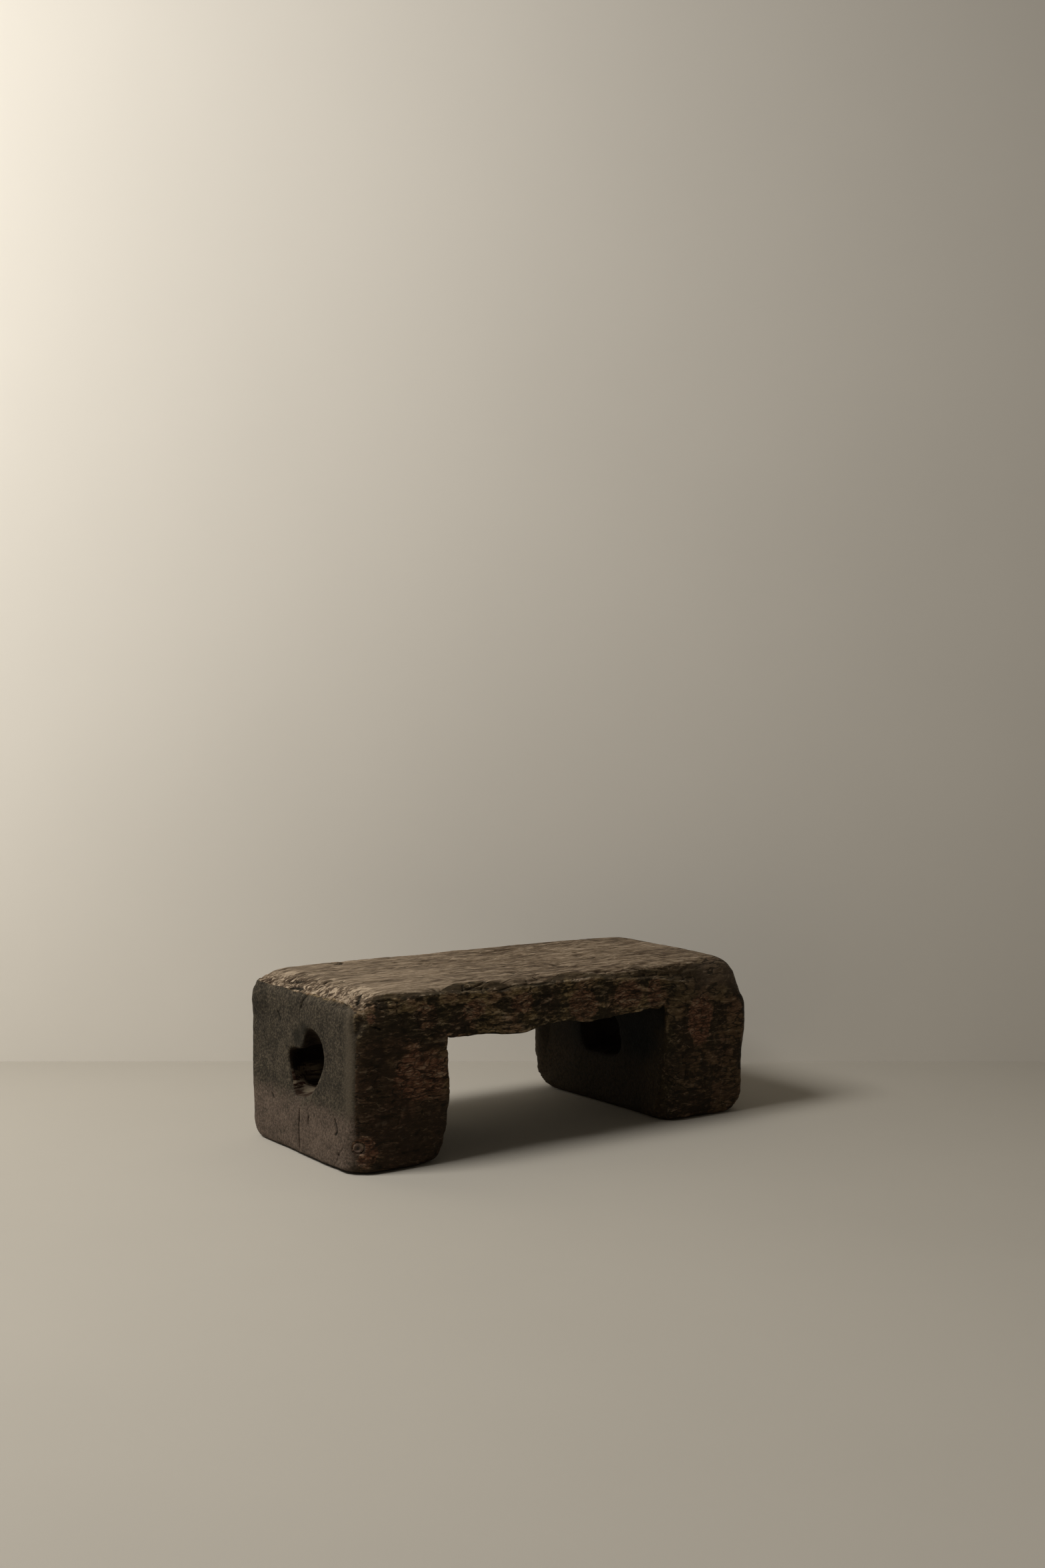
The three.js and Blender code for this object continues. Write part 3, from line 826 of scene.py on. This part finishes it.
def skin_look(g, place, flow, tones):
    """Dark flaking skin of the front, with reddish, olive and darker places, some of them painted shade.
    Gives colour and height.
    """
    flakes = g.waves(flow, (60, 190, 190), 5.0, 0.62)
    fine = g.waves(flow, (160, 420, 420), 3.0, 0.65)
    patches = g.waves(place, (22, 22, 15), 4.0, 0.58)
    hue = g.noise(g.vector("ADD", place, (3.1, 1.7, 0.4)), 27.0, 2.0, 0.5)
    cells = {"Vector": g.stretched(flow, (75.0, 75.0, 210.0)), "Scale": 1.0}
    plates = g.node("ShaderNodeTexVoronoi", {"feature": "DISTANCE_TO_EDGE"}, cells)
    cuts = g.lines(flow, (26, 95, 95), 0.03) * patches.above(0.42, 0.56)
    rubbed = (g.attribute("rubbed") + (flakes - 0.5) * 1.2 + (patches - 0.5) * 1.6).above(0.3, 0.62)
    # Darker skin, with painted shade at the worn corner
    sooty = g.attribute("sooty") * (1 - rubbed)
    dark = (patches + (flakes - 0.5) * 0.25 + rubbed * 0.05 + g.attribute("clear") * 0.15).above(0.54, 0.47)
    tone = flakes * 0.5 + fine * 0.5
    colour = g.ramp(
        tone,
        (0.40, tones.skin_dark),
        (0.49, tones.skin_brown),
        (0.57, tones.skin_tan),
        (0.66, tones.pale_wood),
    )
    tint = g.ramp(hue, (0.38, tones.plum), (0.47, (0.9, 0.9, 0.9)), (0.58, tones.olive))
    colour = g.blend(0.8, colour, tint, "MULTIPLY")
    colour = g.blend(g.attribute("calm") * 0.5, colour, tones.skin_calm)
    red = g.ramp(
        tone,
        (0.40, tones.rubbed_dark),
        (0.52, tones.rubbed_wood),
        (0.64, tones.pale_wood),
    )
    colour = g.blend(rubbed * 0.8, colour, red)
    dark = g.math("MAXIMUM", dark * 0.9, sooty)
    colour = g.blend(dark * (tone.above(0.66, 0.50) * 0.6 + 0.35), colour, tones.dirt_and_shade)
    shade = g.attribute("shade") * (1 - rubbed * 0.45) * 0.68
    colour = g.blend(shade, colour, tones.skin_shade)
    colour = g.blend(g.attribute("shoulder") * 0.65, colour, tones.shoulder_wood)
    colour = g.blend(g.attribute("ruddy") * 0.8, colour, tones.ruddy, "MULTIPLY")
    wane = (g.attribute("wane") + (flakes - 0.5) * 0.9).above(0.35, 0.7)
    colour = g.blend(wane * 0.8, colour, tones.wane_wood)
    gaps = g.math("MAXIMUM", cuts, plates.above(0.12, 0.03) * (rubbed * 0.6 + 0.1))
    moved = g.vector("ADD", flow, (0.7, 0.2, 0.9))
    scratches = g.lines(moved, (20, 70, 70), 0.014) * flakes.above(0.5, 0.6)
    colour = g.blend(scratches * (0.4 - shade * 0.4), colour, tones.pale_wood)
    # The gaps between the flakes are dark with dirt and painted shade
    colour = g.blend(gaps * 0.8, colour, tones.dirt_and_shade)
    return colour, flakes + fine * 0.4 - gaps * 0.5


def timber_finish(tones):
    """Dark handled timber: worn seat, grey end grain and flaking skin, each on its own faces."""
    g = new_graph("patinated_timber")
    black = tones.dirt_and_shade
    place = g.node("ShaderNodeTexCoord", None, None, "Object")
    height = g.node("ShaderNodeSeparateXYZ", None, {"Vector": place}, "Z")
    curl = g.waves(place, (6, 14, 14), 2.0, 0.5, "Color")
    flow = g.vector("ADD", place, g.stretched(curl, (0.0, 0.022, 0.022)))
    grit = g.noise(place, 260.0, 4.0, 0.65)
    threads = g.waves(flow, (14, 130, 130), 3.0, 0.6)
    ragged = (grit - 0.5) * 0.9 + (threads - 0.5) * 0.9

    seat = (g.attribute("seat_wear") + ragged * 0.7).above(0.38, 0.62)
    end = (g.attribute("end_grain") + ragged * 0.25).above(0.3, 0.75)
    pale = (g.attribute("pale_edge") + ragged * 1.1).above(0.4, 0.75)
    hole = g.attribute("hole_wall").above(0.3, 0.7)
    inside = g.attribute("inside")
    stands_out = g.attribute("stands_out")

    skin, skin_height = skin_look(g, place, flow, tones)
    grey, grey_height = end_look(g, place, height, tones)
    worn, worn_height = seat_look(g, place, flow, tones)
    fibres = g.waves(flow, (16, 260, 260), 4.0, 0.6)
    # Painted light and shade inside the hand holes: lit wood with its grain where the window reaches the
    # left hole's low wall, and painted shade near black elsewhere
    lit_wall = g.blend(fibres.above(0.42, 0.56), tones.rubbed_dark, tones.hole_wood_lit)
    shaded_wall = g.blend(fibres * 0.3, black, tones.rubbed_dark)
    wall = g.blend(g.attribute("hole_light"), shaded_wall, lit_wall)

    # Painted shade: the faces under the arch and in the holes go towards black, most up under the slab
    shaded = (height + (grit - 0.5) * 0.05).above(0.05, 0.095) * 0.2 + 0.8
    sawn = g.blend(grit.above(0.35, 0.65), tones.skin_dark, tones.skin_brown)
    bare = g.blend(g.attribute("across"), skin, sawn)
    colour = g.blend(inside * shaded, g.blend(inside, skin, bare), black)
    # Painted shade around the right foot's hand hole, under the arch
    colour = g.blend(g.attribute("smoky") * 0.95, colour, tones.shade_under_arch)
    colour = g.blend(hole, colour, wall)
    # On the end, painted shade beside the upper rim of the hand hole
    colour = g.blend(end, colour, g.blend(g.attribute("sooty") * 0.8, grey, black))
    colour = g.blend(seat, colour, worn)
    colour = g.blend(pale * 0.7, colour, tones.pale_wood)
    colour = g.blend(stands_out.above(0.3, 1.2) * 0.25, colour, tones.pale_wood)
    # Dirt and painted shade in the hollows that sit below the ground around them
    colour = g.blend(stands_out.above(-0.2, -1.0) * (0.7 - seat * 0.1), colour, black)
    # Dirt and painted shade in the cracks and the worm hole
    colour = g.blend(g.attribute("crack").above(0.15, 0.75) * 0.92, colour, black)

    relief = (skin_height * (1 - seat) + worn_height * seat) * (1 - end) + grey_height * end * 0.8
    return g.surface({
        "Base Color": colour,
        "Roughness": 0.72 + (grit - 0.5) * 0.25 + end * 0.12,
        "Normal": g.bump(relief, 0.0016, 0.9),
        "IOR": 1.45,
        "Specular IOR Level": 0.15,
    })


def knot_finish(tones):
    """Dead knot: dark heart, reddish rings and a paler rim."""
    g = new_graph("dead_knot")
    place = g.node("ShaderNodeTexCoord", None, None, "Object")
    grit = g.noise(place, 500.0, 3.0, 0.6)
    cloud = g.noise(place, 180.0, 3.0, 0.6)
    radius = g.attribute("from_heart") + (grit - 0.5) * 2.0 + (cloud - 0.5) * 5.0
    rings = g.math("SINE", radius * 2.1)
    colour = g.blend(radius.above(1.2, 3.0), tones.heart, tones.ring)
    colour = g.blend((rings * 0.5 + 0.5) * 0.35, colour, tones.heart)
    colour = g.blend(radius.above(4.0, 6.5) * cloud.above(0.42, 0.6), colour, tones.rim)
    normal = g.bump(grit + rings * 0.3, 0.0006, 0.7)
    return g.surface({"Base Color": colour, "Normal": normal, "Roughness": 0.7, "Specular IOR Level": 0.35})


def plaster_finish(name, colour):
    """Matt lime plaster that can't be seen from behind, so it hides nothing."""
    g = new_graph(name)
    place = g.node("ShaderNodeTexCoord", None, None, "Object")
    cloud = g.noise(place, 1.6, 4.0, 0.55).above(0.3, 0.7)
    shade = g.blend(cloud * 0.16, colour, [0.8 * part for part in colour])
    matt = {"Base Color": shade, "Roughness": 0.9, "Specular IOR Level": 0.1}
    plaster = g.node("ShaderNodeBsdfPrincipled", None, matt)
    behind = g.node("ShaderNodeNewGeometry", None, None, "Backfacing")
    clear = g.node("ShaderNodeBsdfTransparent", None, {"Color": (1, 1, 1)})
    shown = g.node("ShaderNodeMixShader", None, {0: behind, 1: plaster, 2: clear})
    g.node("ShaderNodeOutputMaterial", None, {"Surface": shown})
    return g.owner


def amount(name, description, default, **kind):
    """A setting that is a number of the kind that its unit or subtype gives."""
    return bpy.props.FloatProperty(name=name, description=description, default=default, **kind)


def length(name, description, default):
    """A setting that is a length in metres."""
    return amount(name, description, default, unit="LENGTH", min=0.0)


def colour(name, description, default):
    """A setting that is a colour."""
    kind = {"subtype": "COLOR", "size": 3, "min": 0.0, "max": 1.0}
    return bpy.props.FloatVectorProperty(name=name, description=description, default=default, **kind)


class TimberSettings(bpy.types.PropertyGroup):
    """Sizes and colours of the hewn timber."""

    cell: length("Face size", "Size of the even faces that carry the surface", 0.0026)
    adze_depth: length("Adze depth", "Depth of the hollows that the adze left", 0.0013)
    grain_depth: length("Grain depth", "Depth of the grooves along the fibres", 0.0009)
    fullness: length("Fullness", "Wood left standing on the faces that the solids flatten", 0.0012)
    seat_wood: colour("Seat wood", "Worn wood of the sitting face", (0.212, 0.158, 0.105))
    seat_light: colour("Seat light", "Bleached wood of the sitting face", (0.290, 0.225, 0.155))
    seat_brown: colour("Seat brown", "Browner streaks of the sitting face", (0.132, 0.092, 0.056))
    seat_dark: colour("Seat grain", "Dark grain of the sitting face", (0.045, 0.028, 0.016))
    pale_wood: colour("Pale wood", "Fresh wood on worn edges and raised fibres", (0.380, 0.295, 0.205))
    end_grain: colour("End grain", "Grey end grain", (0.030, 0.024, 0.016))
    end_dark: colour("End pores", "Dark pores of the end grain", (0.008, 0.0065, 0.0045))
    end_pale: colour("Pale end grain", "Bruised fibres of the end grain", (0.079, 0.063, 0.043))
    end_low: colour("Low end grain", "Redder end grain near the floor", (0.075, 0.054, 0.040))
    end_rose: colour("Rosy end grain", "Bruised fibres of the low end grain", (0.126, 0.092, 0.068))
    # Dark dirt of the skin, and the painted shade in cracks, hollows, the hand holes and under the arch
    dirt_and_shade: colour("Soot", "Soot in cracks, holes and hollows", (0.0075, 0.0062, 0.0032))
    skin_dark: colour("Dark skin", "Handled skin of the front", (0.041, 0.0245, 0.0122))
    skin_brown: colour("Brown skin", "Thinner skin of the front", (0.134, 0.089, 0.046))
    skin_calm: colour("Calm skin", "Smoother skin of the feet", (0.068, 0.047, 0.026))
    skin_shade: colour("Shaded skin", "Darker even skin of the feet", (0.027, 0.0175, 0.0098))
    skin_tan: colour("Tan skin", "Scuffed skin of the front", (0.270, 0.190, 0.110))
    rubbed_wood: colour("Rubbed wood", "Reddish wood where the skin is gone", (0.205, 0.104, 0.062))
    rubbed_dark: colour("Rubbed shade", "Darker reddish wood", (0.050, 0.022, 0.013))
    wane_wood: colour("Wane", "Dull smooth band along the front of the seat", (0.044, 0.030, 0.016))
    shoulder_wood: colour("Shoulder", "Smooth wood of the right shoulder", (0.108, 0.075, 0.050))
    # A painted shade for the wood beside the right foot's hand hole, under the arch
    shade_under_arch: colour("Shadow", "Shadowed wood beside the hand hole under the arch", (0.0022, 0.0030, 0.0014))
    # Wood inside the left hand hole, with painted light where the window reaches it
    hole_wood_lit: colour("Hole wood", "Wood inside the hand hole", (0.320, 0.255, 0.172))
    olive: colour("Olive tint", "Tint of the skin in olive places", (0.93, 0.98, 0.86))
    ruddy: colour("Ruddy tint", "Tint of the skin of the feet", (1.0, 0.86, 0.84))
    plum: colour("Plum tint", "Tint of the skin in plum places", (1.0, 0.86, 0.90))


class KnotSettings(bpy.types.PropertyGroup):
    """Sizes and colours of the dead knot in the corner."""

    cell: length("Face size", "Size of the even faces of the knot", 0.0008)
    heart: colour("Heart", "Dark heart of the knot", (0.015, 0.009, 0.006))
    ring: colour("Ring", "Reddish rings of the knot", (0.090, 0.055, 0.036))
    rim: colour("Rim", "Paler rim of the knot", (0.180, 0.130, 0.088))


class StageSettings(bpy.types.PropertyGroup):
    """The studio: floor, wall, lamps and camera."""

    floor: colour("Floor", "Colour of the floor", (0.435, 0.402, 0.345))
    wall: colour("Wall", "Colour of the wall", (0.65, 0.61, 0.54))
    wall_distance: length("Wall distance", "From the camera to the wall, along the floor", 2.504)
    camera_height: length("Camera height", "Camera above the floor", 0.4995)
    heading: amount(
        "Heading", "Camera's turn from the Y axis towards X", math.radians(35.29), subtype="ANGLE"
    )
    pitch: amount("Pitch", "Camera's tilt below the horizon", math.radians(2.05), subtype="ANGLE")
    lens: amount("Lens", "Focal length in millimetres", 39.2, min=1.0)
    window_power: amount("Window power", "Light from the window on the left", 61.5, subtype="POWER")
    wall_power: amount("Wall power", "Light that washes the wall from the left", 3.6, subtype="POWER")
    fill: amount("Fill", "Light from the whole room", 0.082, min=0.0)


class STOOL_OT_timber(bpy.types.Operator):
    """Make the hewn timber with its tool marks, grain and cracks"""

    bl_idname = "low_stool.timber"
    bl_label = "Hewn Timber"

    def execute(self, context):
        settings = context.scene.stool_timber
        piece = even_copy(TIMBER, "HewnTimber", settings.cell, passes=6)
        hew(piece, settings)
        piece.data.materials.append(timber_finish(settings))
        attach(piece, "root")
        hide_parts(TIMBER)
        return {"FINISHED"}


class STOOL_OT_knot(bpy.types.Operator):
    """Make the dead knot that sits loose in its socket"""

    bl_idname = "low_stool.knot"
    bl_label = "Dead Knot"

    def execute(self, context):
        settings = context.scene.stool_knot
        piece = even_copy(KNOT, "DeadKnot", settings.cell, passes=2)
        dish_knot(piece.data)
        piece.data.materials.append(knot_finish(settings))
        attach(piece, "root")
        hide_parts(KNOT)
        return {"FINISHED"}


class STOOL_OT_stage(bpy.types.Operator):
    """Set the floor, the wall, the soft light and the camera"""

    bl_idname = "low_stool.stage"
    bl_label = "Studio Stage"

    def execute(self, context):
        settings = context.scene.stool_stage
        forward = Vector((math.sin(settings.heading), math.cos(settings.heading), 0))
        leftward = Vector((-forward.y, forward.x, 0))
        eye = Vector((*CAMERA_PLACE, settings.camera_height))
        self.add_planes(settings, forward, eye)
        self.add_lamp("Window", WINDOW_PLACE, forward * -0.7, WINDOW_SIDES, settings.window_power)
        beside = leftward * 1.25 - forward * 0.35 + Vector((0, 0, 0.75))
        wall_left = forward * 0.37 + leftward * 1.2 + Vector((0, 0, 0.7))
        self.add_lamp("Wall light", beside, wall_left, WALL_LAMP_SIDES, settings.wall_power)
        self.set_world(context, settings)
        camera = bpy.data.objects.new("Camera", bpy.data.cameras.new("Camera"))
        context.scene.collection.objects.link(camera)
        camera.data.sensor_width = 36.0
        camera.data.lens = settings.lens
        camera.location = eye
        camera.rotation_euler = Euler((math.pi / 2 - settings.pitch, 0, -settings.heading))
        camera.data.clip_end = 100.0
        context.scene.camera = camera
        context.scene.view_settings.view_transform = "Standard"
        return {"FINISHED"}

    def add_planes(self, settings, forward, eye):
        """Lay the floor and stand the wall square to the camera."""
        foot = Vector((eye.x, eye.y, 0)) + forward * settings.wall_distance
        side = Vector((forward.y, -forward.x, 0)) * WALL_REACH
        tall = Vector((0, 0, WALL_REACH))
        far = FLOOR_REACH
        floor = [(-far, -far, 0), (far, -far, 0), (far, far, 0), (-far, far, 0)]
        wall = [foot - side, foot + side, foot + side + tall, foot - side + tall]
        for name, corners, shade in (("Floor", floor, settings.floor), ("Wall", wall, settings.wall)):
            mesh = bpy.data.meshes.new(name)
            mesh.from_pydata([tuple(corner) for corner in corners], [], [(0, 1, 2, 3)])
            mesh.materials.append(plaster_finish(name.lower() + "_plaster", shade))
            plane = bpy.data.objects.new(name, mesh)
            bpy.context.scene.collection.objects.link(plane)

    def add_lamp(self, name, place, target, sides, power):
        """Hang a soft lamp that the camera doesn't see."""
        lamp = bpy.data.objects.new(name, bpy.data.lights.new(name, "AREA"))
        bpy.context.scene.collection.objects.link(lamp)
        lamp.data.shape = "RECTANGLE"
        lamp.data.size, lamp.data.size_y = sides
        lamp.data.energy = power
        lamp.data.color = LAMP_COLOUR
        lamp.location = place
        lamp.rotation_euler = (target - place).to_track_quat("-Z", "Y").to_euler()
        lamp.visible_camera = False

    def set_world(self, context, settings):
        """Light the room evenly, and show it plain and pale behind the stage."""
        context.scene.world = bpy.data.worlds.new("Room")
        g = Graph(context.scene.world)
        seen = g.math(
            "MAXIMUM",
            g.node("ShaderNodeLightPath", None, None, "Is Camera Ray"),
            g.node("ShaderNodeLightPath", None, None, "Is Glossy Ray"),
        )
        room = g.node("ShaderNodeBackground", None, {"Color": ROOM_COLOUR, "Strength": settings.fill})
        shown = g.node("ShaderNodeBackground", None, {"Color": ROOM_SEEN, "Strength": 1.0})
        both = g.node("ShaderNodeMixShader", None, {0: seen, 1: room, 2: shown})
        g.node("ShaderNodeOutputWorld", None, {"Surface": both})


class STOOL_PT_panel(bpy.types.Panel):
    """Lists the stool's pieces and its stage"""

    bl_label = "Low Stool"
    bl_idname = "STOOL_PT_panel"
    bl_space_type = "VIEW_3D"
    bl_region_type = "UI"
    bl_category = "Low Stool"

    def draw(self, context):
        for operator, settings in STEPS:
            box = self.layout.box()
            box.operator(operator.bl_idname)
            group = getattr(context.scene, settings)
            for name in group.__annotations__:
                box.prop(group, name)


GROUPS = {"stool_timber": TimberSettings, "stool_knot": KnotSettings, "stool_stage": StageSettings}
STEPS = (
    (STOOL_OT_timber, "stool_timber"),
    (STOOL_OT_knot, "stool_knot"),
    (STOOL_OT_stage, "stool_stage"),
)
CLASSES = (*GROUPS.values(), *(operator for operator, _ in STEPS), STOOL_PT_panel)


def register():
    for each in CLASSES:
        bpy.utils.register_class(each)
    for name, group in GROUPS.items():
        setattr(bpy.types.Scene, name, bpy.props.PointerProperty(type=group))


def unregister():
    for name in GROUPS:
        delattr(bpy.types.Scene, name)
    for each in reversed(CLASSES):
        bpy.utils.unregister_class(each)


def main():
    register()
    bpy.ops.low_stool.timber()
    bpy.ops.low_stool.knot()
    bpy.ops.low_stool.stage()


if __name__ == "__main__":
    main()
